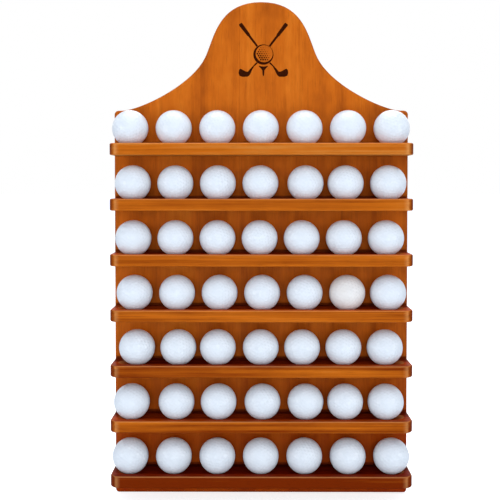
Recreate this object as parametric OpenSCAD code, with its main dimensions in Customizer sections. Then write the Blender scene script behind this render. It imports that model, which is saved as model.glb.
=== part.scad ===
// Wall rack that displays golf balls: a backboard with a bell-shaped crest,
// shelves with a stopped groove along the top, and the balls that lie in them.
// Millimetres, +Z up. The front faces -Y and the back lies on the wall at y = 0.
// The origin is midway between the entry holes of the two keyhole hangers.

/* [Backboard] */
// Width of the backboard, which the shelves share
board_w = 355.6; // [345:0.1:400]
// Thickness of the backboard
board_t = 14; // [12:0.5:20]
// Round-over of the backboard's front edges
board_edge_r = 2.5; // [1:0.1:4]
// Corner radius at the foot of the backboard
foot_corner_r = 4; // [3:0.5:10]
// Corner radius at the shoulders beside the crest
shoulder_corner_r = 5; // [3:0.5:8]
// Backboard below the lowest shelf
foot_h = 20.7; // [10:0.1:40]
// Rise of the shoulders above the top shelf
shoulder_rise = 41; // [38:0.5:60]

/* [Crest] */
// Rise of the crest above the shoulders
crest_h = 130.9; // [110:0.1:150]
// Half-width of the crest where its round head meets the hollow flank
waist_half_w = 68; // [60:0.5:76]
// Height of that place above the shoulders
waist_h = 64; // [50:0.5:75]
// Slope of the flank at that place, in degrees
waist_slope = 64; // [55:1:75]
// Distance from the end of the board to where the flank runs level
flank_end_inset = 8.8; // [7:0.1:20]
// Pull of the curve along the level top
top_pull = 53; // [40:1:60]
// Pull of the curve above the waist
waist_pull_up = 25; // [15:1:35]
// Pull of the curve below the waist
waist_pull_down = 38; // [25:1:50]
// Pull of the curve along the level shoulder
shoulder_pull = 20; // [10:1:30]

/* [Shelves] */
// Thickness of a shelf
shelf_t = 14; // [12:0.5:18]
// Depth of a shelf in front of the backboard
shelf_d = 50; // [46:0.5:70]
// Distance from one shelf to the next
shelf_pitch = 65.05; // [64:0.05:80]
// Radius of the front corners, seen from above
shelf_corner_r = 12.7; // [8:0.1:20]
// Round-over along the top and bottom of the front and ends
shelf_edge_r = 1.8; // [0.8:0.1:3]

/* [Groove] */
// Radius of the groove's hollow bottom
groove_r = 29; // [25:0.5:40]
// Depth of the groove
groove_depth = 3.6; // [2.5:0.1:4.2]
// Distance from the backboard to the middle of the groove
groove_back = 25.5; // [23:0.5:30]
// Wood left between the groove and the end of the shelf
groove_end_land = 7.4; // [5:0.1:20]

/* [Balls] */
// Diameter of a golf ball
ball_d = 42.67; // [41:0.01:44]
// Air under a ball in its groove
ball_gap = 0.3; // [0.1:0.05:0.5]

/* [Shelf screws] */
// Diameter of a shelf screw's shank
screw_d = 3.5; // [3:0.1:4.5]
// Diameter of its countersunk head
screw_head_d = 7; // [6:0.1:9]
// Length over all
screw_l = 40; // [32:1:50]
// Distance from the end of a shelf to its outer screws
screw_end_inset = 45; // [30:1:80]
// Depth of the head below the back of the board
screw_sink = 0.5; // [0:0.1:1.5]

/* [Keyhole hangers] */
// Distance between the two hangers
hanger_spacing = 203.2; // [180:0.1:230]
// Height of the entry holes above the top shelf
hanger_rise = 30; // [28:0.5:40]
// Length of a hanger
hanger_l = 42; // [38:0.5:50]
// Width of a hanger
hanger_w = 16; // [14:0.5:20]
// Thickness of a hanger
hanger_t = 1.6; // [1:0.1:2.5]
// Diameter of the entry hole, which takes a wall screw's head
entry_d = 9.5; // [8:0.1:10]
// Width of the slot, which takes the wall screw's shank
slot_w = 4.8; // [4:0.1:5.5]
// Rise from the entry hole to the end of the slot
slot_rise = 11; // [10:0.5:12]
// Entry hole below the middle of the hanger
entry_drop = 5; // [4:0.5:6]
// Depth of the pocket in the wood behind a hanger
pocket_depth = 8; // [6:0.5:9]
// Distance between the two screws of a hanger
hanger_screw_spacing = 33; // [32:0.5:34]
// Diameter of a hanger screw's shank
hanger_screw_d = 2.5; // [2:0.1:3]
// Diameter of its head
hanger_screw_head_d = 5; // [4:0.1:5.5]
// Length over all
hanger_screw_l = 10; // [8:0.5:11]

/* [Fits] */
// Air round a screw in its hole
screw_fit = 0.05; // [0.02:0.01:0.1]
// Air round a hanger in its recess
hanger_fit = 0.15; // [0.05:0.05:0.3]

/* [Hidden] */
shelf_count = 7;
balls_per_shelf = 7;
screws_per_shelf = 3;

// Share of the spare room between neighbours that the balls of a row have
// closed up, and their drift to the right in millimetres, from the top row down
row_gather = [0.06, 0.18, 0.23, 0.17, 0.32, 0.2, 0.03];
row_drift = [-0.5, -1, -2, 1, -0.5, -0.5, -0.5];
// Balls that have rolled out of their row's even spacing: [row, place, millimetres]
rolled = [[2, 5, 3], [4, 7, -2], [5, 3, -2], [6, 1, -3], [6, 4, 2], [6, 5, 3], [6, 7, -2]];

// Colours
board_wood = [0.71, 0.40, 0.17];
shelf_wood = [0.76, 0.44, 0.19];
ball_white = [0.90, 0.92, 0.96];
zinc = [0.72, 0.73, 0.75];
steel = [0.62, 0.60, 0.56];

// Facets
curve_steps = 18;
corner_steps = 5;
round_steps = 4;
cut = 1;
$fn = 96;

// Heights above the foot of the board
lowest_top = foot_h + shelf_t;
highest_top = lowest_top + (shelf_count - 1) * shelf_pitch;
shoulder_z = highest_top + shoulder_rise;
board_h = shoulder_z + crest_h;
hanger_z = highest_top + hanger_rise;

// The groove's half-width at the surface, and the reach of its straight part
groove_half_w = sqrt(2 * groove_r * groove_depth - pow(groove_depth, 2));
groove_reach = board_w / 2 - groove_end_land - groove_half_w;

// Even spacing that would spread a row over its whole groove
full_spacing = 2 * groove_reach / (balls_per_shelf - 1);
spare_room = full_spacing - ball_d;

function ball_name(row, place) = str("ball_", row, "_", place);

// Shelf 1 is the top one
function shelf_top(row) = lowest_top + (shelf_count - row) * shelf_pitch;

function ball_rolled(row, place) =
    let (found = [for (entry = rolled) if (entry[0] == row && entry[1] == place) entry[2]])
    len(found) > 0 ? found[0] : 0;

function ball_x(row, place) =
    (place - (balls_per_shelf + 1) / 2) * (full_spacing - row_gather[row - 1] * spare_room)
    + row_drift[row - 1] + ball_rolled(row, place);

function screw_x(i) = (i / (screws_per_shelf - 1) - 0.5) * (board_w - 2 * screw_end_inset);

// Curve of four control points
function bezier(a, b, c, d, t) =
    pow(1 - t, 3) * a + 3 * pow(1 - t, 2) * t * b + 3 * (1 - t) * pow(t, 2) * c + pow(t, 3) * d;

function arc(centre, r, from, to) =
    [for (i = [0:corner_steps]) centre + r * [cos(from + (to - from) * i / corner_steps),
                                              sin(from + (to - from) * i / corner_steps)]];

// The right half of the outline, drawn in by inset, from the foot up to the crest's top
function half_outline(inset) =
    let (w = board_w / 2 - inset,
         foot_r = foot_corner_r - inset,
         shoulder_r = shoulder_corner_r - inset,
         along = [cos(waist_slope), -sin(waist_slope)],
         out = inset * [sin(waist_slope), cos(waist_slope)],
         waist = [waist_half_w, shoulder_z + waist_h] - out,
         flank_end = [board_w / 2 - flank_end_inset, shoulder_z - inset],
         top = [0, board_h - inset])
    concat(
        arc([w - foot_r, inset + foot_r], foot_r, -90, 0),
        arc([w - shoulder_r, shoulder_z - inset - shoulder_r], shoulder_r, 0, 90),
        [for (i = [0:curve_steps - 1])
            bezier(flank_end, flank_end - [shoulder_pull, 0],
                   waist + waist_pull_down * along, waist, i / curve_steps)],
        [for (i = [0:curve_steps])
            bezier(waist, waist - waist_pull_up * along,
                   top + [top_pull, 0], top, i / curve_steps)]
    );

function mirrored(points) = [for (i = [len(points) - 2:-1:0]) [-points[i][0], points[i][1]]];

function outline(inset) = let (half = half_outline(inset)) concat(half, mirrored(half));

// Rings of the board from the back face to the front, as [depth, inset]
function board_rings() = concat(
    [[0, 0]],
    [for (i = [0:round_steps])
        let (turn = 90 * i / round_steps)
        [board_t - board_edge_r * (1 - sin(turn)), board_edge_r * (1 - cos(turn))]]
);

// Puts a piece that is drawn above the foot of the board into the rack's own frame
module in_frame() {
    translate([0, 0, -hanger_z]) children();
}

// Turns a piece drawn along +Z so that it enters the back of the board
module into_back(x, z) {
    translate([x, 0, z]) rotate([90, 0, 0]) children();
}

// Solid between outlines that lie one before the other
module lofted(rings) {
    n = len(outline(0));
    points = [for (ring = rings) for (p = outline(ring[1])) [p[0], -ring[0], p[1]]];
    last = (len(rings) - 1) * n;
    faces = concat(
        [[for (i = [n - 1:-1:0]) i]],
        [[for (i = [0:n - 1]) last + i]],
        [for (k = [0:len(rings) - 2], i = [0:n - 1])
            [k * n + i, k * n + (i + 1) % n, (k + 1) * n + (i + 1) % n]],
        [for (k = [0:len(rings) - 2], i = [0:n - 1])
            [k * n + i, (k + 1) * n + (i + 1) % n, (k + 1) * n + i]]
    );
    polyhedron(points, faces);
}

// Wood screw with a flat head at z = 0 and its point at the far end.
// grow widens it into the hole that it sits in.
module screw_body(d, head_d, l, grow = 0) {
    head_h = (head_d - d) / 2;
    tip_h = 1.5 * d;
    cylinder(h = head_h, r1 = head_d / 2 + grow, r2 = d / 2 + grow);
    cylinder(h = l - tip_h, r = d / 2 + grow);
    translate([0, 0, l - tip_h]) cylinder(h = tip_h + grow, r1 = d / 2 + grow, r2 = 0.2);
}

module cross_recess(head_d) {
    arm = 0.62 * head_d;
    blade = 0.14 * head_d;
    depth = 0.22 * head_d;
    for (turn = [0, 90]) rotate(turn) translate([-arm / 2, -blade / 2, -cut]) cube([arm, blade, depth + cut]);
}

module wood_screw(d, head_d, l) {
    difference() {
        screw_body(d, head_d, l);
        cross_recess(head_d);
    }
}

module at_shelf_screws(row) {
    for (i = [0:screws_per_shelf - 1])
        into_back(screw_x(i), shelf_top(row) - shelf_t / 2) translate([0, 0, screw_sink]) children();
}

module at_hangers() {
    for (side = [-1, 1]) into_back(side * hanger_spacing / 2, hanger_z) children();
}

module at_hanger_screws() {
    at_hangers() for (end = [-1, 1])
        translate([0, entry_drop + end * hanger_screw_spacing / 2, 0]) children();
}

// Plate with round ends, lying on z = 0, with the entry hole at the origin
module hanger_blank(grow = 0) {
    end_y = (hanger_l - hanger_w) / 2;
    translate([0, entry_drop, 0]) {
        for (end = [-1, 1]) translate([0, end * end_y, 0]) cylinder(h = hanger_t, r = hanger_w / 2 + grow);
        translate([-hanger_w / 2 - grow, -end_y, 0]) cube([hanger_w + 2 * grow, 2 * end_y, hanger_t]);
    }
}

// Entry hole with a slot above it
module keyhole(entry, slot, depth) {
    translate([0, 0, -cut]) {
        cylinder(h = depth + cut, d = entry);
        translate([0, slot_rise, 0]) cylinder(h = depth + cut, d = slot);
        translate([-slot / 2, 0, 0]) cube([slot, slot_rise, depth + cut]);
    }
}

module backboard() {
    color(board_wood) difference() {
        lofted(board_rings());
        for (row = [1:shelf_count]) at_shelf_screws(row) {
            screw_body(screw_d, screw_head_d, screw_l, screw_fit);
            translate([0, 0, -screw_sink - cut])
                cylinder(h = screw_sink + cut, d = screw_head_d + 2 * screw_fit);
        }
        at_hangers() {
            hanger_blank(hanger_fit);
            keyhole(entry_d + 1, entry_d + 1, hanger_t + pocket_depth);
        }
        at_hanger_screws() screw_body(hanger_screw_d, hanger_screw_head_d, hanger_screw_l, screw_fit);
    }
}

// Section through a shelf's edge: a rectangle with its two outer corners rounded
module edge_section() {
    translate([0, -shelf_t]) square([shelf_corner_r - shelf_edge_r, shelf_t]);
    translate([0, shelf_edge_r - shelf_t]) square([shelf_corner_r, shelf_t - 2 * shelf_edge_r]);
    for (y = [-shelf_edge_r, shelf_edge_r - shelf_t])
        translate([shelf_corner_r - shelf_edge_r, y]) circle(r = shelf_edge_r);
}

// Board with rounded front corners and edges, its top at z = 0 and its back at y = 0
module shelf_blank() {
    half_core = board_w / 2 - shelf_corner_r;
    core_d = shelf_d - shelf_corner_r;
    translate([-half_core, -core_d, -shelf_t]) cube([2 * half_core, core_d, shelf_t]);
    translate([half_core, -core_d, 0]) rotate([90, 0, -90]) linear_extrude(2 * half_core) edge_section();
    for (side = [0, 1]) mirror([side, 0, 0]) translate([half_core, 0, 0]) {
        rotate([90, 0, 0]) linear_extrude(core_d) edge_section();
        translate([0, -core_d, 0]) rotate([0, 0, -90]) rotate_extrude(angle = 90) edge_section();
    }
}

// Hollow with round ends, cut along the top of a shelf: a bar with ball ends, turned about its length
module groove() {
    translate([0, -groove_back, groove_r - groove_depth]) rotate([0, 90, 0])
        rotate_extrude() intersection() {
            translate([0, -groove_reach - groove_r]) square([groove_r, 2 * (groove_reach + groove_r)]);
            union() {
                translate([0, -groove_reach]) square([groove_r, 2 * groove_reach]);
                for (side = [-1, 1]) translate([0, side * groove_reach]) circle(r = groove_r);
            }
        }
}

module shelf(row) {
    color(shelf_wood) difference() {
        translate([0, -board_t, shelf_top(row)]) difference() {
            shelf_blank();
            groove();
        }
        at_shelf_screws(row) screw_body(screw_d, screw_head_d, screw_l, screw_fit);
    }
}

module shelf_screws() {
    color(steel) for (row = [1:shelf_count]) at_shelf_screws(row) wood_screw(screw_d, screw_head_d, screw_l);
}

module keyhole_hangers() {
    color(zinc) difference() {
        at_hangers() hanger_blank();
        at_hangers() keyhole(entry_d, slot_w, hanger_t + cut);
        at_hanger_screws() screw_body(hanger_screw_d, hanger_screw_head_d, hanger_screw_l, screw_fit);
    }
}

module hanger_screws() {
    color(steel) at_hanger_screws() wood_screw(hanger_screw_d, hanger_screw_head_d, hanger_screw_l);
}

module ball(row, place) {
    color(ball_white)
        translate([ball_x(row, place), -board_t - groove_back,
                   shelf_top(row) - groove_depth + ball_gap + ball_d / 2])
            sphere(d = ball_d);
}

in_frame() backboard();
for (row = [1:shelf_count])
    in_frame() shelf(row);
in_frame() shelf_screws();
in_frame() keyhole_hangers();
in_frame() hanger_screws();
for (row = [1:shelf_count], place = [1:balls_per_shelf])
    in_frame() ball(row, place);
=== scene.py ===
import math
import random

import bmesh
import bpy
from mathutils import Euler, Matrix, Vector


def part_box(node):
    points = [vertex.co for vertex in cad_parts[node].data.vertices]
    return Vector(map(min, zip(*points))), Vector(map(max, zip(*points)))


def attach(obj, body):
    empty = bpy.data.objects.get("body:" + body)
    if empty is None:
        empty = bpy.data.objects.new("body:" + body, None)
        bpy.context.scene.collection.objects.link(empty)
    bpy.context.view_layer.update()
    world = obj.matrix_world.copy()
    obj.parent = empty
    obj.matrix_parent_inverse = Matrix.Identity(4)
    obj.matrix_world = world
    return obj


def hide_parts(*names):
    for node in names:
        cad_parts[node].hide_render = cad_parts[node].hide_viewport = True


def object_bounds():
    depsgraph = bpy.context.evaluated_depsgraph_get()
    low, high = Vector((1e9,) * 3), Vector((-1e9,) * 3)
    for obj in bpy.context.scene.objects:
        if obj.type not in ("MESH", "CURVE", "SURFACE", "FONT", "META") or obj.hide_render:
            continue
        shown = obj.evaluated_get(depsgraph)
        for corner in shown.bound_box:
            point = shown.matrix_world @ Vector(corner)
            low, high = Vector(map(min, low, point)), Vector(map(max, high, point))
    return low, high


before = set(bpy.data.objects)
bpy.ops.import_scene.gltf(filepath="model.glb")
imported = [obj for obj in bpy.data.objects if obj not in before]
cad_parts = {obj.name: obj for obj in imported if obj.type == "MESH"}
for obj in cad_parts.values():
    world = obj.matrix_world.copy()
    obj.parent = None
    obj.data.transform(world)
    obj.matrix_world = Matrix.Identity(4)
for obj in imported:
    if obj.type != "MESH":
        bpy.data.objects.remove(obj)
CAD_LOW, CAD_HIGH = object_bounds()

MM = 0.001
SHELVES = 7
BALLS_PER_SHELF = 7
BODY = "rack"
BOARD_FACE_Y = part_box("backboard")[0].y
FOOT_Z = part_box("backboard")[0].z
BALL_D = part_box("ball_1_1")[1].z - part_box("ball_1_1")[0].z

# Most of a noise's values lie between these two
NOISE_BULK = (0.3, 0.7)


# Node helpers

class Nodes:
    """Adds nodes to one material and joins them in short calls."""

    def __init__(self, name):
        self.material = bpy.data.materials.new(name)
        self.material.use_nodes = True
        self.tree = self.material.node_tree
        self.surface = self.tree.nodes["Principled BSDF"]

    def add(self, kind, **settings):
        node = self.tree.nodes.new(kind)
        for key, value in settings.items():
            setattr(node, key, value)
        return node

    def join(self, source, target):
        self.tree.links.new(source, target)

    def feed(self, node, slot, value):
        """A socket takes either another node's output or a plain value."""
        if isinstance(value, bpy.types.NodeSocket):
            self.join(value, node.inputs[slot])
        else:
            node.inputs[slot].default_value = value

    def math(self, operation, a, b=0.0):
        node = self.add("ShaderNodeMath", operation=operation)
        self.feed(node, 0, a)
        self.feed(node, 1, b)
        return node.outputs[0]

    def object_point(self):
        return self.add("ShaderNodeTexCoord").outputs["Object"]

    def normal(self):
        return self.add("ShaderNodeTexCoord").outputs["Normal"]

    def parts_of(self, vector):
        node = self.add("ShaderNodeSeparateXYZ")
        self.join(vector, node.inputs[0])
        return node.outputs

    def vector(self, x=0.0, y=0.0, z=0.0):
        node = self.add("ShaderNodeCombineXYZ")
        for slot, value in enumerate((x, y, z)):
            self.feed(node, slot, value)
        return node.outputs[0]

    def mapped(self, point, scale=(1, 1, 1), offset=(0, 0, 0)):
        node = self.add("ShaderNodeMapping")
        self.feed(node, "Vector", point)
        node.inputs["Scale"].default_value = scale
        node.inputs["Location"].default_value = offset
        return node.outputs[0]

    def noise(self, point, scale=1.0, detail=3.0, roughness=0.5):
        node = self.add("ShaderNodeTexNoise")
        self.feed(node, "Vector", point)
        node.inputs["Scale"].default_value = scale
        node.inputs["Detail"].default_value = detail
        node.inputs["Roughness"].default_value = roughness
        return node.outputs["Fac"]

    def spread(self, value, low, high, to_low=0.0, to_high=1.0):
        """Maps low..high onto to_low..to_high and holds the ends."""
        node = self.add("ShaderNodeMapRange", clamp=True)
        self.feed(node, "Value", value)
        node.inputs["From Min"].default_value = low
        node.inputs["From Max"].default_value = high
        node.inputs["To Min"].default_value = to_low
        node.inputs["To Max"].default_value = to_high
        return node.outputs[0]

    def ramp(self, value, stops, interpolation="LINEAR"):
        node = self.add("ShaderNodeValToRGB")
        self.feed(node, "Fac", value)
        node.color_ramp.interpolation = interpolation
        elements = node.color_ramp.elements
        elements[0].position = stops[0][0]
        elements[0].color = (*stops[0][1], 1)
        elements[1].position = stops[-1][0]
        elements[1].color = (*stops[-1][1], 1)
        for place, colour in stops[1:-1]:
            elements.new(place).color = (*colour, 1)
        return node.outputs["Color"]

    def mix(self, factor, a, b, blend="MIX"):
        node = self.add("ShaderNodeMix", data_type="RGBA", blend_type=blend)
        self.feed(node, 0, factor)
        for slot, value in ((6, a), (7, b)):
            if isinstance(value, bpy.types.NodeSocket):
                self.join(value, node.inputs[slot])
            else:
                node.inputs[slot].default_value = (*value, 1)
        return node.outputs[2]

    def bump(self, height, distance, below=None):
        node = self.add("ShaderNodeBump")
        self.feed(node, "Height", height)
        node.inputs["Strength"].default_value = 1.0
        node.inputs["Distance"].default_value = distance
        if below is not None:
            self.join(below, node.inputs["Normal"])
        return node.outputs[0]

    def set(self, slot, value):
        self.feed(self.surface, slot, value)


def paint(node, material):
    """Gives a CAD node this material alone."""
    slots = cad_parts[node].data.materials
    slots.clear()
    slots.append(material)


# Wood. Colours are linear, a facing is a part of the surface's normal, and where two numbers
# stand together a stain or layer runs from the first to the second.

# Dark, middle and light, more golden on the shelves
DARK_STAIN_AND_SHADE = (0.165, 0.021, 0.0018)
BOARD_STAIN = (DARK_STAIN_AND_SHADE, (0.520, 0.114, 0.0060), (0.760, 0.218, 0.0180))
SHELF_STAIN = ((0.165, 0.0175, 0.0005), (0.500, 0.118, 0.0060), (0.540, 0.240, 0.0520))

# Edges of the backboard's staves and how light each stave is, from the left
STAVE_EDGES_MM = (-177.8, -123, -75, -26, 46, 97, 139, 177.8)
STAVE_TONES = (0.43, 0.47, 0.44, 0.465, 0.395, 0.44, 0.30)
# A stave's grain lies this many times its middle's x further along, so that no two are alike
STAVE_GRAIN_SHIFT = 45
# Where in the noise the board's grain lies
BOARD_GRAIN = (3.1, 0.4, 1.7)
# How light each shelf is and where in the noise its grain lies, from the top
SHELF_TONES = (0.67, 0.465, 0.395, 0.36, 0.185, 0.175, -0.11)
SHELF_GRAIN = ((3.8, 6.1, -5.7), (-0.4, -5.1, 5.3), (-8.2, 8.2, -4.4), (-3.5, -1.4, 1.6),
               (8.8, -1.6, 6.2), (0.2, 5.3, 2.2), (7.9, -5.0, -6.7))

# Layers of the grain: noise units per metre across it and along it
WOBBLE = (9, 2.2)
BOARD_BANDS = (22, 2.0)
SHELF_BANDS = (22, 4.5)
STREAKS = (290, 3.0)
FIBRES = (520, 14)
MOTTLING = (90, 36)
PORES = (1500, 60)
# How far rings, bands, streaks, fibres and mottling move the tone
BOARD_SHARES = (0.30, 0.30, 0.07, 0.07, 0.20)
SHELF_SHARES = (0.12, 0.32, 0.42, 0.16, 0.06)
# A layer's share is used up between these values of its noise
LAYER_SPAN = (0.28, 0.72)
PORE_SPAN = (0.30, 0.42)
PORE_TONE = 0.80

# Growth rings: how far behind the wood their pith is, noise units per metre out from it and along
# it, how far they wander sideways, and how much of that shows in their distance from the pith
RING_PITH = 46 * MM
RINGS_OUT = 150
RINGS_ALONG = 2.0
RING_WANDER = 30 * MM
RING_WANDER_OUT = 0.5
RING_ROUGHNESS = 0.55

# Glue lines between the staves, by distance from the joint
SEAM_STAIN = (0.220, 0.036, 0.0020)
SEAM_WIDTH = (0.2 * MM, 0.7 * MM)
SEAM_SHARE = 0.22
# Painted shade on the board's cut edges, which face less to the front or back
RIM_FACING = (0.25, 0.90)
RIM_SHARE = 0.60
# Painted shade: the board's foot is darker, over this height
FOOT_FADE = 190 * MM
FOOT_SHADE_TONE = -0.16
FOOT_SHADE_COLOUR = (0.34, 0.02, 0.0005)
FOOT_SHADE_SHARE = 0.60
# Painted shade on the board's face in the corner over each shelf, by height over a shelf's top; it ends
# over the top shelf
JOINT_SHADE_COLOUR = (0.09, 0.008, 0.0006)
JOINT_SHADE_HEIGHT = (2.0 * MM, 3.7 * MM)
JOINT_SHADE_SHARE = 0.85
JOINT_SHADE_END = (8 * MM, 10 * MM)
JOINT_SHADE_FACING = (-0.95, -0.80)

# Painted shade on the shelves' tops, darker and redder toward the back under the shelf above,
# multiplies the colour: distance from the front in mm, factors
TOP_PAINTED_SHADE = ((2, (1.06, 0.62, 0.30)), (14, (1.28, 0.70, 0.30)), (22, (1.26, 0.62, 0.28)),
             (27, (0.94, 0.44, 0.28)), (34, (0.60, 0.27, 0.26)), (42, (0.46, 0.20, 0.25)))
TOP_SHADE_FACING = (0.45, 0.85)
# Painted highlight along the front's upper edge, which faces forwards and up
PAINTED_HIGHLIGHT = (0.88, 0.43, 0.14)
BROW_FACING = (0.84, 0.97)
BROW_DEPTH = (3 * MM, 7 * MM)
BROW_SHARE = 0.26
# Painted highlight on the round front corners, which face partly sideways
CORNER_FACING = (0.06, 0.40)
CORNER_FADE = (0.42, 0.60)
CORNER_SHARE = 0.28
# Painted shade on the ends, which face sideways
END_FACING = (0.50, 0.82)
END_SHARE = 0.90

WOOD_ROUGHNESS = (0.36, 0.48)
BOARD_SPECULAR = 0.035
SHELF_SPECULAR = 0.010
LACQUER_WEIGHT = 0.015
LACQUER_ROUGHNESS = 0.25
PORE_DEPTH = 0.04 * MM
FIBRE_DEPTH = 0.10 * MM


def stave_places(n, x):
    """The tone and the middle line of the stave at x, as steps across the board."""
    low, high = STAVE_EDGES_MM[0] * MM, STAVE_EDGES_MM[-1] * MM
    place = n.spread(x, low, high)
    tones, middles = [], []
    for left, right, light in zip(STAVE_EDGES_MM, STAVE_EDGES_MM[1:], STAVE_TONES):
        start = (left * MM - low) / (high - low)
        middle = ((left + right) / 2 * MM - low) / (high - low)
        tones.append((start, (light,) * 3))
        middles.append((start, (middle,) * 3))
    tone = n.ramp(place, tones, "CONSTANT")
    middle = n.spread(n.ramp(place, middles, "CONSTANT"), 0, 1, low, high)
    return tone, middle


def seam_stain(n, x, colour):
    """Darkens the glue lines between the staves."""
    line = None
    for edge in STAVE_EDGES_MM[1:-1]:
        gap = n.math("ABSOLUTE", n.math("SUBTRACT", x, edge * MM))
        line = gap if line is None else n.math("MINIMUM", line, gap)
    return n.mix(n.spread(line, *SEAM_WIDTH, SEAM_SHARE, 0.0), colour, SEAM_STAIN)


def rim_painted_shade(n, colour):
    """Painted shade: the board's cut edges are darker than its faces."""
    facing = n.math("ABSOLUTE", n.parts_of(n.normal())[1])
    return n.mix(n.spread(facing, *RIM_FACING, RIM_SHARE, 0.0), colour, DARK_STAIN_AND_SHADE)


def painted_joint_shade(n, z, colour):
    """Painted shade: darkens the face of the board along the top of each shelf."""
    lowest, second, highest = (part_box(f"shelf_{row}")[1].z for row in (SHELVES, SHELVES - 1, 1))
    above = n.math("FLOORED_MODULO", n.math("SUBTRACT", z, lowest), second - lowest)
    over_shelf_shade = n.spread(above, *JOINT_SHADE_HEIGHT, JOINT_SHADE_SHARE, 0.0)
    below_crest = n.spread(z, highest + JOINT_SHADE_END[0], highest + JOINT_SHADE_END[1], 1.0, 0.0)
    in_front = n.spread(n.parts_of(n.normal())[1], *JOINT_SHADE_FACING, 1.0, 0.0)
    share = n.math("MULTIPLY", n.math("MULTIPLY", over_shelf_shade, below_crest), in_front)
    return n.mix(share, colour, JOINT_SHADE_COLOUR)


def board_stain_and_shade(n, x, z, colour):
    """Everything that darkens the board in places: dark glue lines, and painted shade at the foot, on
    the cut edges and over each shelf.
    """
    # Painted shade toward the foot
    foot = n.spread(z, FOOT_Z, FOOT_Z + FOOT_FADE, FOOT_SHADE_SHARE, 0.0)
    colour = n.mix(foot, colour, FOOT_SHADE_COLOUR)
    colour = seam_stain(n, x, colour)
    colour = rim_painted_shade(n, colour)
    return painted_joint_shade(n, z, colour)


def shelf_painted_light(n, y, colour):
    """Painted shade on top and at the ends, and painted highlights along the front's upper edge and
    corners.
    """
    front_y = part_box("shelf_1")[0].y
    nx, ny, nz = n.parts_of(n.normal())
    first, last = TOP_PAINTED_SHADE[0][0], TOP_PAINTED_SHADE[-1][0]
    stops = [((place - first) / (last - first), factors) for place, factors in TOP_PAINTED_SHADE]
    depth = n.spread(y, front_y + first * MM, front_y + last * MM)
    # Painted shade on the tops
    colour = n.mix(n.spread(nz, *TOP_SHADE_FACING), colour, n.ramp(depth, stops), "MULTIPLY")
    # Painted highlight along the front's upper edge
    brow = n.math("MULTIPLY", n.math("SUBTRACT", nz, ny), math.sqrt(0.5))
    at_front = n.spread(y, front_y + BROW_DEPTH[0], front_y + BROW_DEPTH[1], 1.0, 0.0)
    brow = n.math("MULTIPLY", n.spread(brow, *BROW_FACING, 0.0, BROW_SHARE), at_front)
    # Painted highlight on the round corners
    side = n.math("ABSOLUTE", nx)
    fading = n.spread(side, *CORNER_FADE, CORNER_SHARE, 0.0)
    corner = n.math("MULTIPLY", n.spread(side, *CORNER_FACING), fading)
    colour = n.mix(n.math("MAXIMUM", brow, corner), colour, PAINTED_HIGHLIGHT)
    # Painted shade on the ends
    return n.mix(n.spread(side, *END_FACING, 0.0, END_SHARE), colour, DARK_STAIN_AND_SHADE)


def wood(name, offset, ring_y, shelf_tone=None):
    """Stained, lacquered solid wood: a shelf of this tone, or without one the staved board.

    The grain is level in a shelf and upright in the board. Growth rings lie round a pith behind
    ring_y, so that they show as long streaks on the faces and as arcs on the end grain.
    """
    n = Nodes(name)
    x, y, z = n.parts_of(n.object_point())
    staved = shelf_tone is None
    if staved:
        stave_tone, stave_middle = stave_places(n, x)
        across = n.math("SUBTRACT", x, stave_middle)
        along = n.math("ADD", z, n.math("MULTIPLY", stave_middle, STAVE_GRAIN_SHIFT))
        # The tone also drops toward the foot: painted shade
        tone = n.math("ADD", stave_tone, n.spread(z, FOOT_Z, FOOT_Z + FOOT_FADE, FOOT_SHADE_TONE, 0.0))
        shares, stain, bands = BOARD_SHARES, BOARD_STAIN, BOARD_BANDS
    else:
        along, across, tone = x, z, shelf_tone
        shares, stain, bands = SHELF_SHARES, SHELF_STAIN, SHELF_BANDS

    def grain(scale, **options):
        per_m_across, per_m_along = scale
        vector = n.vector(n.math("MULTIPLY", across, per_m_across),
                          n.math("MULTIPLY", y, per_m_across),
                          n.math("MULTIPLY", along, per_m_along))
        return n.noise(n.mapped(vector, offset=offset), **options)

    wobble = n.math("MULTIPLY", n.math("SUBTRACT", grain(WOBBLE, detail=2), 0.5), RING_WANDER)
    behind = n.math("SUBTRACT", y, ring_y + RING_PITH)
    radius = n.math("SQRT", n.math("ADD", n.math("POWER", n.math("ADD", across, wobble), 2),
                                   n.math("POWER", behind, 2)))
    radius = n.math("ADD", radius, n.math("MULTIPLY", wobble, RING_WANDER_OUT))
    ring_point = n.vector(n.math("MULTIPLY", radius, RINGS_OUT), n.math("MULTIPLY", along, RINGS_ALONG))
    rings = n.noise(n.mapped(ring_point, offset=offset), detail=3, roughness=RING_ROUGHNESS)
    fibres = grain(FIBRES, detail=4, roughness=0.6)
    layers = (rings, grain(bands, detail=2), grain(STREAKS, detail=3, roughness=0.6), fibres,
              grain(MOTTLING, detail=3, roughness=0.6))
    value = n.math("SUBTRACT", tone, sum(shares) / 2)
    for layer, share in zip(layers, shares):
        value = n.math("ADD", value, n.spread(layer, *LAYER_SPAN, 0.0, share))
    colour = n.ramp(value, list(zip((0.0, 0.5, 1.0), stain)))
    pore = n.spread(grain(PORES, detail=2), *PORE_SPAN, PORE_TONE, 1.0)
    colour = n.mix(1.0, colour, n.vector(pore, pore, pore), "MULTIPLY")

    n.set("Base Color", board_stain_and_shade(n, x, z, colour) if staved else shelf_painted_light(n, y, colour))
    n.set("Roughness", n.spread(fibres, *NOISE_BULK, *WOOD_ROUGHNESS))
    n.set("Specular IOR Level", BOARD_SPECULAR if staved else SHELF_SPECULAR)
    n.set("Coat Weight", LACQUER_WEIGHT)
    n.set("Coat Roughness", LACQUER_ROUGHNESS)
    n.set("Normal", n.bump(pore, PORE_DEPTH, below=n.bump(fibres, FIBRE_DEPTH)))
    return n.material


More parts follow.
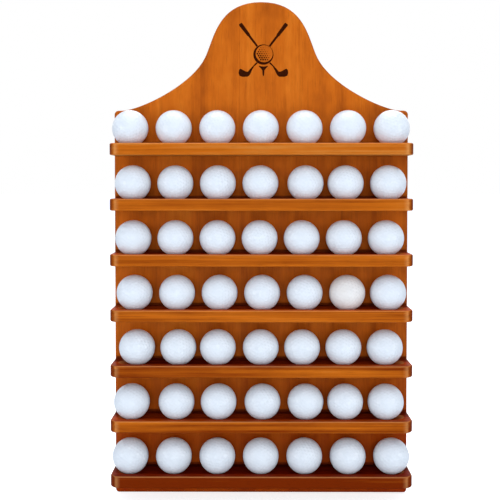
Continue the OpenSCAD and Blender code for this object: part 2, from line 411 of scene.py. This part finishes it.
def dress_wood():
    low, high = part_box("backboard")
    paint("backboard", wood("board_wood", BOARD_GRAIN, (low.y + high.y) / 2))
    for row, (tone, offset) in enumerate(zip(SHELF_TONES, SHELF_GRAIN), 1):
        back_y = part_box(f"shelf_{row}")[1].y
        paint(f"shelf_{row}", wood(f"shelf_wood_{row}", offset, back_y, tone))


# Metal

# Colour and roughness of the plating
HANGER_ZINC = (0.72, 0.71, 0.67), 0.34
SCREW_STEEL = (0.66, 0.62, 0.50), 0.30
BLOTCHES_PER_M = 160
BLOTCH_TONE = 0.72
# How much smoother and rougher than its mean the plating gets
BLOTCH_ROUGHNESS = (-0.07, 0.08)
SCRATCHES_PER_M = (2600, 2600, 500)
SCRATCH_DEPTH = 0.01 * MM


def metal(name, colour, roughness):
    """Plated steel with faint blotches and fine scratches."""
    n = Nodes(name)
    point = n.object_point()
    blotch = n.noise(point, BLOTCHES_PER_M, detail=3)
    scratches = n.noise(n.mapped(point, SCRATCHES_PER_M), detail=2)
    darker = tuple(c * BLOTCH_TONE for c in colour)
    smooth, rough = (roughness + more for more in BLOTCH_ROUGHNESS)
    n.set("Base Color", n.mix(n.spread(blotch, *NOISE_BULK), darker, colour))
    n.set("Metallic", 1.0)
    n.set("Roughness", n.spread(blotch, *NOISE_BULK, smooth, rough))
    n.set("Normal", n.bump(scratches, SCRATCH_DEPTH))
    return n.material


def dress_metal():
    paint("keyhole_hangers", metal("hanger_zinc", *HANGER_ZINC))
    steel = metal("screw_steel", *SCREW_STEEL)
    paint("shelf_screws", steel)
    paint("hanger_screws", steel)


# Golf balls

# Dimples stand on a triangular grid with this many steps along each edge of an icosahedron
GRID_STEPS = 6
EVEN_ROUNDS = 20
EVEN_STEP = 0.0125
# A dimple's diameter as a share of the way to the nearest other dimple's middle
DIMPLE_SHARE = 0.93
DIMPLE_DEPTH = 0.33 * MM
# Where between a dimple's middle and its rim the ring of points in between lies
MID_RING = 0.60
TURN_SEED = 7
CREAM_BALL = "ball_4_6"

# Lighter and darker tone of the cover, linear
WHITE_COVER = (0.722, 0.748, 0.762), (0.692, 0.720, 0.740)
CREAM_COVER = (0.752, 0.722, 0.685), (0.722, 0.683, 0.637)
COVER_DRIFT_PER_M = 45
COVER_DRIFT_SPAN = (0.35, 0.65)
COVER_MARKS_PER_M = 900
COVER_MARK_DEPTH = 0.01 * MM
COVER_ROUGHNESS = (0.26, 0.36)
COVER_DIFFUSE_ROUGHNESS = 0.25
COVER_COAT_WEIGHT = 0.3
COVER_COAT_ROUGHNESS = 0.12


def icosahedron():
    """Corners and faces of a regular icosahedron of radius 1."""
    phi = (1 + 5 ** 0.5) / 2
    corners = []
    for a in (-1, 1):
        for b in (-phi, phi):
            corners += [Vector((0, a, b)), Vector((a, b, 0)), Vector((b, 0, a))]
    corners = [c.normalized() for c in corners]
    edge = min((corners[0] - c).length for c in corners[1:])

    def near(i, j):
        return (corners[i] - corners[j]).length < edge * 1.01

    faces = []
    for i in range(len(corners)):
        for j in range(i + 1, len(corners)):
            for k in range(j + 1, len(corners)):
                if near(i, j) and near(j, k) and near(i, k):
                    a, b, c = corners[i], corners[j], corners[k]
                    outward = (b - a).cross(c - a).dot(a) > 0
                    faces.append((i, j, k) if outward else (i, k, j))
    return corners, faces


def dimple_sites():
    """Points spread evenly over the unit sphere, and the triangles between them."""
    corners, faces = icosahedron()
    sites, found, triangles = [], {}, []

    def site(point):
        point = point.normalized()
        key = tuple(round(c, 5) for c in point)
        if key not in found:
            found[key] = len(sites)
            sites.append(point)
        return found[key]

    for i, j, k in faces:
        a, b, c = corners[i], corners[j], corners[k]
        grid = {}
        for u in range(GRID_STEPS + 1):
            for v in range(GRID_STEPS + 1 - u):
                w = GRID_STEPS - u - v
                grid[u, v] = site(a * w + b * u + c * v)
        for u in range(GRID_STEPS):
            for v in range(GRID_STEPS - u):
                triangles.append((grid[u, v], grid[u + 1, v], grid[u, v + 1]))
                if u + v < GRID_STEPS - 1:
                    triangles.append((grid[u + 1, v], grid[u + 1, v + 1], grid[u, v + 1]))
    return sites, triangles


def neighbours_in_order(sites, triangles):
    """For each site its neighbours, counter-clockwise seen from outside."""
    follows = [{} for _ in sites]
    for a, b, c in triangles:
        for here, there, after in ((a, b, c), (b, c, a), (c, a, b)):
            follows[here][there] = after
    rings = []
    for turn in follows:
        ring = [min(turn)]
        while len(ring) < len(turn):
            ring.append(turn[ring[-1]])
        rings.append(ring)
    return rings


def evened(sites, rings):
    """Lets neighbouring sites push each other apart until they are spaced about alike."""
    spacing = math.sqrt(8 * math.pi / (math.sqrt(3) * len(sites)))
    for _ in range(EVEN_ROUNDS):
        moved = []
        for here, ring in zip(sites, rings):
            push = Vector()
            for other in ring:
                away = here - sites[other]
                push += away.normalized() * (spacing / away.length) ** 3
            moved.append((here + push * spacing * EVEN_STEP).normalized())
        sites = moved
    return sites


def dimpled_ball():
    """Vertices and faces of one ball about the origin: a dimple at each site, with land between."""
    radius = BALL_D / 2
    sites, triangles = dimple_sites()
    rings = neighbours_in_order(sites, triangles)
    sites = evened(sites, rings)
    points, faces, rim = [], [], {}

    def around(site, toward, angle, sunk):
        """The point at an angle from a site's middle, towards another direction."""
        side = (toward - site * toward.dot(site)).normalized()
        return (site * math.cos(angle) + side * math.sin(angle)) * (radius - sunk)

    for s, ring in enumerate(rings):
        reach = min(sites[s].angle(sites[other]) for other in ring) * DIMPLE_SHARE / 2
        middle = len(points)
        points.append(sites[s] * (radius - DIMPLE_DEPTH))
        aims = []
        for here, there in zip(ring, ring[1:] + ring[:1]):
            aims.append(((s, here), sites[here]))
            aims.append(((s, here, there), (sites[here] + sites[there]).normalized()))
        count = len(aims)
        sunk = DIMPLE_DEPTH * (1 - MID_RING ** 2)
        for share, depth in ((MID_RING, sunk), (1.0, 0.0)):
            for key, aim in aims:
                if share == 1.0:
                    rim[key] = len(points)
                points.append(around(sites[s], aim, reach * share, depth))
        for i in range(count):
            inner, nxt = middle + 1 + i, middle + 1 + (i + 1) % count
            faces.append((middle, inner, nxt))
            faces.append((inner, inner + count, nxt + count, nxt))

    def between(s, a, b):
        return rim[s, a, b] if (s, a, b) in rim else rim[s, b, a]

    for a, b, c in triangles:
        mids = [between(a, b, c), between(b, c, a), between(c, a, b)]
        faces.append(tuple(mids))
        for here, there, m, k in ((a, b, mids[0], mids[1]), (b, c, mids[1], mids[2]),
                                  (c, a, mids[2], mids[0])):
            faces.append((rim[here, there], rim[there, here], k, m))
    return points, faces


def ball_material(name, colour, shade):
    """Glossy cast cover with a faint tone drift and handling marks."""
    n = Nodes(name)
    point = n.object_point()
    drift = n.noise(point, COVER_DRIFT_PER_M, detail=2)
    marks = n.noise(point, COVER_MARKS_PER_M, detail=3, roughness=0.6)
    n.set("Base Color", n.mix(n.spread(drift, *COVER_DRIFT_SPAN), shade, colour))
    n.set("Roughness", n.spread(marks, *NOISE_BULK, *COVER_ROUGHNESS))
    n.set("Diffuse Roughness", COVER_DIFFUSE_ROUGHNESS)
    n.set("Coat Weight", COVER_COAT_WEIGHT)
    n.set("Coat Roughness", COVER_COAT_ROUGHNESS)
    n.set("Normal", n.bump(marks, COVER_MARK_DEPTH))
    return n.material


def make_balls():
    points, faces = dimpled_ball()
    white = ball_material("ball_cover_white", *WHITE_COVER)
    cream = ball_material("ball_cover_cream", *CREAM_COVER)
    rng = random.Random(TURN_SEED)
    for row in range(1, SHELVES + 1):
        for place in range(1, BALLS_PER_SHELF + 1):
            node = f"ball_{row}_{place}"
            low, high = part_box(node)
            turn = Euler([rng.uniform(0, 2 * math.pi) for _ in range(3)]).to_matrix()
            mesh = bpy.data.meshes.new(f"golf_{node}")
            mesh.from_pydata([turn @ p for p in points], [], faces)
            mesh.polygons.foreach_set("use_smooth", [True] * len(mesh.polygons))
            is_cream = node == CREAM_BALL
            mesh.materials.append(cream if is_cream else white)
            ball = bpy.data.objects.new(f"golf_{node}", mesh)
            bpy.context.collection.objects.link(ball)
            ball.location = (low + high) / 2
            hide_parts(node)
            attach(ball, node)


# Figure on the crest: crossed clubs, a ball and a tee, as thin dark plates let into the wood

FIGURE_FRONT_Y = BOARD_FACE_Y - 0.15 * MM
FIGURE_BACK_Y = BOARD_FACE_Y + 0.10 * MM
FIGURE_X = 2.7 * MM
FIGURE_BALL_Z = 78.4 * MM
FIGURE_BALL_R = 12.2 * MM
RING_SEGMENTS = 72
# The circle cut out of the ball's disc is smaller and off centre, which leaves a crescent
FIGURE_HOLLOW_R = 10.25 * MM
FIGURE_HOLLOW_SHIFT = 1.0 * MM
# Dots inside it, kept off its edge
DOT_SEGMENTS = 12
DOT_PITCH = 2.75 * MM
DOT_R = 1.1 * MM
DOT_MARGIN = 0.9 * MM
# A dot's size as a share of DOT_R: in the middle, how it grows toward the lower left, and the least
DOT_MIDDLE = 0.62
DOT_GROWTH = 0.95
DOT_LEAST = 0.30

# The clubs in mm: middle of the grip's top and of the heel, as x from the figure's middle and z
GRIP_TOP = (27.9, 115.2)
HEEL = (-16.0, 57.6)
# Half widths of the grip and shaft by distance from the grip's top, then of the shaft at the ball
GRIP_PROFILE = ((-0.4, 1.7), (0.8, 2.4), (17, 1.9), (17.8, 1.4))
SHAFT_ABOVE_BALL = 1.2
SHAFT_BELOW_BALL = 1.05
# The shafts stop this far short of the ball
BALL_CLEARANCE = 0.3
# The blade of a club: sole from the heel outward, toe, and top edge back to the hosel
BLADE = ((1.9, 1.4), (0.6, -1.8), (-1.2, -4.6), (-3.4, -5.9), (-9.2, -6.0), (-12.8, -4.8),
         (-14.1, -1.4), (-13.4, 2.4), (-11.9, 4.0), (-9.0, 2.4), (-5.4, 0.5), (-2.9, 0.1), (-1.6, 1.2))
# The tee in mm: height of its point, and its right half as x from its middle and height over the point
TEE_POINT_Z = 51.9
TEE = ((0, 0), (1.0, 2.2), (1.2, 7.2), (2.3, 9.0), (3.9, 10.7), (5.5, 12.2), (5.1, 13.0),
       (2.6, 12.3), (0, 12.1))

CHAR_DARK = (0.022, 0.0045, 0.0008)
CHAR_LIGHT = (0.050, 0.0085, 0.0016)
CHAR_PER_M = 420
CHAR_SPAN = (0.35, 0.7)
CHAR_ROUGHNESS = (0.55, 0.75)
CHAR_SPECULAR = 0.01
CHAR_DEPTH = 0.06 * MM


def plate(bm, outline):
    """A thin plate with this outline, (x, z) points in metres, let into the board's face."""
    front = [bm.verts.new((x, FIGURE_FRONT_Y, z)) for x, z in outline]
    back = [bm.verts.new((x, FIGURE_BACK_Y, z)) for x, z in outline]
    bm.faces.new(front)
    bm.faces.new(reversed(back))
    for i in range(len(outline)):
        j = (i + 1) % len(outline)
        bm.faces.new((front[j], front[i], back[i], back[j]))


def circle(x, z, radius, count):
    turn = 2 * math.pi / count
    return [(x + radius * math.cos(turn * i), z + radius * math.sin(turn * i)) for i in range(count)]


def figure_ring(bm):
    """The ball's outline: a disc with the hollow left out."""
    shift = FIGURE_HOLLOW_SHIFT
    outer = circle(FIGURE_X, FIGURE_BALL_Z, FIGURE_BALL_R, RING_SEGMENTS)
    inner = circle(FIGURE_X + shift, FIGURE_BALL_Z + shift, FIGURE_HOLLOW_R, RING_SEGMENTS)
    loops = [[bm.verts.new((x, y, z)) for x, z in loop]
             for loop, y in ((outer, FIGURE_FRONT_Y), (inner, FIGURE_FRONT_Y),
                             (inner, FIGURE_BACK_Y), (outer, FIGURE_BACK_Y))]
    for here, there in zip(loops, loops[1:] + loops[:1]):
        for i in range(RING_SEGMENTS):
            j = (i + 1) % RING_SEGMENTS
            bm.faces.new((here[i], here[j], there[j], there[i]))


def figure_dots(bm):
    """Dimples in a triangular pattern that fade out towards the upper right."""
    rows = int(FIGURE_HOLLOW_R / DOT_PITCH) + 1
    for row in range(-rows, rows + 1):
        for step in range(-rows - 1, rows + 1):
            dx = (step + 0.5 * (row % 2)) * DOT_PITCH
            dz = row * DOT_PITCH * math.sqrt(3) / 2
            if math.hypot(dx, dz) > FIGURE_HOLLOW_R - DOT_MARGIN:
                continue
            toward_shade = -(dx + dz) / (2 * FIGURE_HOLLOW_R)
            radius = DOT_R * min(1.0, DOT_MIDDLE + DOT_GROWTH * toward_shade)
            if radius > DOT_LEAST * DOT_R:
                centre = FIGURE_X + FIGURE_HOLLOW_SHIFT + dx, FIGURE_BALL_Z + FIGURE_HOLLOW_SHIFT + dz
                plate(bm, circle(*centre, radius, DOT_SEGMENTS))


def figure_clubs(bm):
    """Two crossed clubs, each broken where it passes behind the ball."""
    top, heel = Vector(GRIP_TOP), Vector(HEEL)
    down = (heel - top).normalized()
    side = Vector((-down.y, down.x))
    middle = Vector((0, FIGURE_BALL_Z / MM))
    reach = FIGURE_BALL_R / MM + BALL_CLEARANCE
    near = (middle - top).dot(down)
    off = abs((middle - top).dot(side))
    half_chord = math.sqrt(reach ** 2 - off ** 2)
    profile = [*GRIP_PROFILE, (near - half_chord, SHAFT_ABOVE_BALL)]
    upper = [top + down * along + side * half for along, half in profile]
    upper += [top + down * along - side * half for along, half in reversed(profile)]
    below = top + down * (near + half_chord)
    lower = [below + side * SHAFT_BELOW_BALL, below - side * SHAFT_BELOW_BALL]
    lower += [heel + Vector(p) for p in BLADE]
    for outline in (upper, lower):
        for flip in (1, -1):
            plate(bm, [(FIGURE_X + flip * p.x * MM, p.y * MM) for p in outline])


def figure_tee(bm):
    right = [(FIGURE_X + x * MM, (TEE_POINT_Z + z) * MM) for x, z in TEE]
    left = [(2 * FIGURE_X - x, z) for x, z in reversed(right[1:-1])]
    plate(bm, right + left)


def burnt_material():
    """Wood burnt dark, with lighter char here and there."""
    n = Nodes("burnt_figure")
    char = n.noise(n.object_point(), CHAR_PER_M, detail=4, roughness=0.6)
    n.set("Base Color", n.mix(n.spread(char, *CHAR_SPAN), CHAR_DARK, CHAR_LIGHT))
    n.set("Roughness", n.spread(char, *NOISE_BULK, *CHAR_ROUGHNESS))
    n.set("Specular IOR Level", CHAR_SPECULAR)
    n.set("Normal", n.bump(char, CHAR_DEPTH))
    return n.material


def make_figure():
    bm = bmesh.new()
    figure_ring(bm)
    figure_dots(bm)
    figure_clubs(bm)
    figure_tee(bm)
    bmesh.ops.recalc_face_normals(bm, faces=bm.faces)
    mesh = bpy.data.meshes.new("crest_figure")
    bm.to_mesh(mesh)
    bm.free()
    mesh.materials.append(burnt_material())
    figure = bpy.data.objects.new("crest_figure", mesh)
    bpy.context.collection.objects.link(figure)
    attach(figure, BODY)


# Light, floor and camera

# Softboxes: name, place in metres, width and height in metres, watts
FRONT_BOXES = (("front_softbox", (0.0, -2.5, 0.22), 1.1, 0.7, 16.2),
               ("high_softbox", (0.0, -1.1, 1.45), 1.4, 0.7, 5.6),
               ("low_softbox", (0.0, -1.35, -0.36), 0.8, 0.15, 2.2))
OUTER_BOXES = (("left_softbox", (-1.7, -1.3, -0.15), 0.8, 1.2, 9.3),
               ("right_softbox", (1.7, -1.3, -0.15), 0.8, 1.2, 9.3),
               ("top_softbox", (0.0, 0.15, 1.7), 1.6, 0.8, 19.5),
               ("back_softbox", (0.3, 2.6, 1.2), 2.4, 1.8, 22))
LOW_BOX_COLOUR = (0.72, 0.88, 1.0)
WORLD_LIGHT = (0.355, 0.44, 0.59)

FLOOR_GAP = 0.5 * MM
FLOOR_SIZE = 60.0
FLOOR_COLOUR = (0.8, 0.8, 0.8, 1)
# Added to the floor for the eye alone, which brings it to white
FLOOR_GLOW = 0.76

# The camera's place and aim are set so that the shelves' and the board's edges land where the
# photograph has them
PHOTO_SIZE = 500
FOCAL_PX = 947.7
SENSOR_MM = 36.0
EYE = Vector((-6.8, -1163.3, -76.8)) * MM
PITCH_DOWN = math.radians(1.535)
TURN_LEFT = math.radians(0.333)
LENS_SHIFT_Y = -0.083


def area_light(name, place, width, height, watts):
    """A soft rectangular lamp that faces the middle of the rack."""
    lamp = bpy.data.lights.new(name, "AREA")
    lamp.shape = "RECTANGLE"
    lamp.size, lamp.size_y = width, height
    lamp.energy = watts
    ob = bpy.data.objects.new(name, lamp)
    bpy.context.collection.objects.link(ob)
    ob.location = place
    aim = (CAD_LOW + CAD_HIGH) / 2 - Vector(place)
    ob.rotation_euler = aim.to_track_quat("-Z", "Y").to_euler()
    return ob


def make_light():
    """The boxes in front leave no mirror image of themselves on the balls."""
    for box in FRONT_BOXES:
        lamp = area_light(*box)
        lamp.visible_glossy = False
        if lamp.name == "low_softbox":
            lamp.data.color = LOW_BOX_COLOUR
    for box in OUTER_BOXES:
        area_light(*box)


def make_world():
    """White to the eye and in reflections, softer and cooler as a source of light."""
    world = bpy.data.worlds.new("studio")
    bpy.context.scene.world = world
    world.use_nodes = True
    tree = world.node_tree
    seen = tree.nodes.new("ShaderNodeLightPath")
    total = seen.outputs["Is Camera Ray"]
    for ray in ("Is Glossy Ray", "Is Transmission Ray"):
        either = tree.nodes.new("ShaderNodeMath")
        either.operation = "MAXIMUM"
        tree.links.new(total, either.inputs[0])
        tree.links.new(seen.outputs[ray], either.inputs[1])
        total = either.outputs[0]
    colour = tree.nodes.new("ShaderNodeMix")
    colour.data_type = "RGBA"
    colour.inputs[6].default_value = (*WORLD_LIGHT, 1)
    colour.inputs[7].default_value = (1, 1, 1, 1)
    tree.links.new(total, colour.inputs[0])
    tree.links.new(colour.outputs[2], tree.nodes["Background"].inputs["Color"])


def make_floor():
    """A pale floor under the rack's foot."""
    mesh = bpy.data.meshes.new("floor")
    half = FLOOR_SIZE / 2
    mesh.from_pydata([(-half, -half, 0), (half, -half, 0), (half, half, 0), (-half, half, 0)],
                     [], [(0, 1, 2, 3)])
    floor = bpy.data.objects.new("floor", mesh)
    bpy.context.collection.objects.link(floor)
    floor.location.z = FOOT_Z - FLOOR_GAP
    n = Nodes("floor_paint")
    n.set("Base Color", FLOOR_COLOUR)
    n.set("Roughness", 0.9)
    n.set("Specular IOR Level", 0.1)
    n.set("Emission Color", (1, 1, 1, 1))
    seen = n.add("ShaderNodeLightPath")
    n.set("Emission Strength", n.math("MULTIPLY", seen.outputs["Is Camera Ray"], FLOOR_GLOW))
    mesh.materials.append(n.material)


def make_camera():
    data = bpy.data.cameras.new("camera")
    data.sensor_width = SENSOR_MM
    data.lens = FOCAL_PX * SENSOR_MM / PHOTO_SIZE
    data.shift_y = LENS_SHIFT_Y
    camera = bpy.data.objects.new("camera", data)
    bpy.context.collection.objects.link(camera)
    camera.location = EYE
    camera.rotation_euler = (math.pi / 2 - PITCH_DOWN, 0, TURN_LEFT)
    bpy.context.scene.camera = camera


make_camera()
make_world()
make_light()
make_floor()
dress_wood()
dress_metal()
make_balls()
make_figure()
bpy.context.scene.view_settings.view_transform = "Standard"
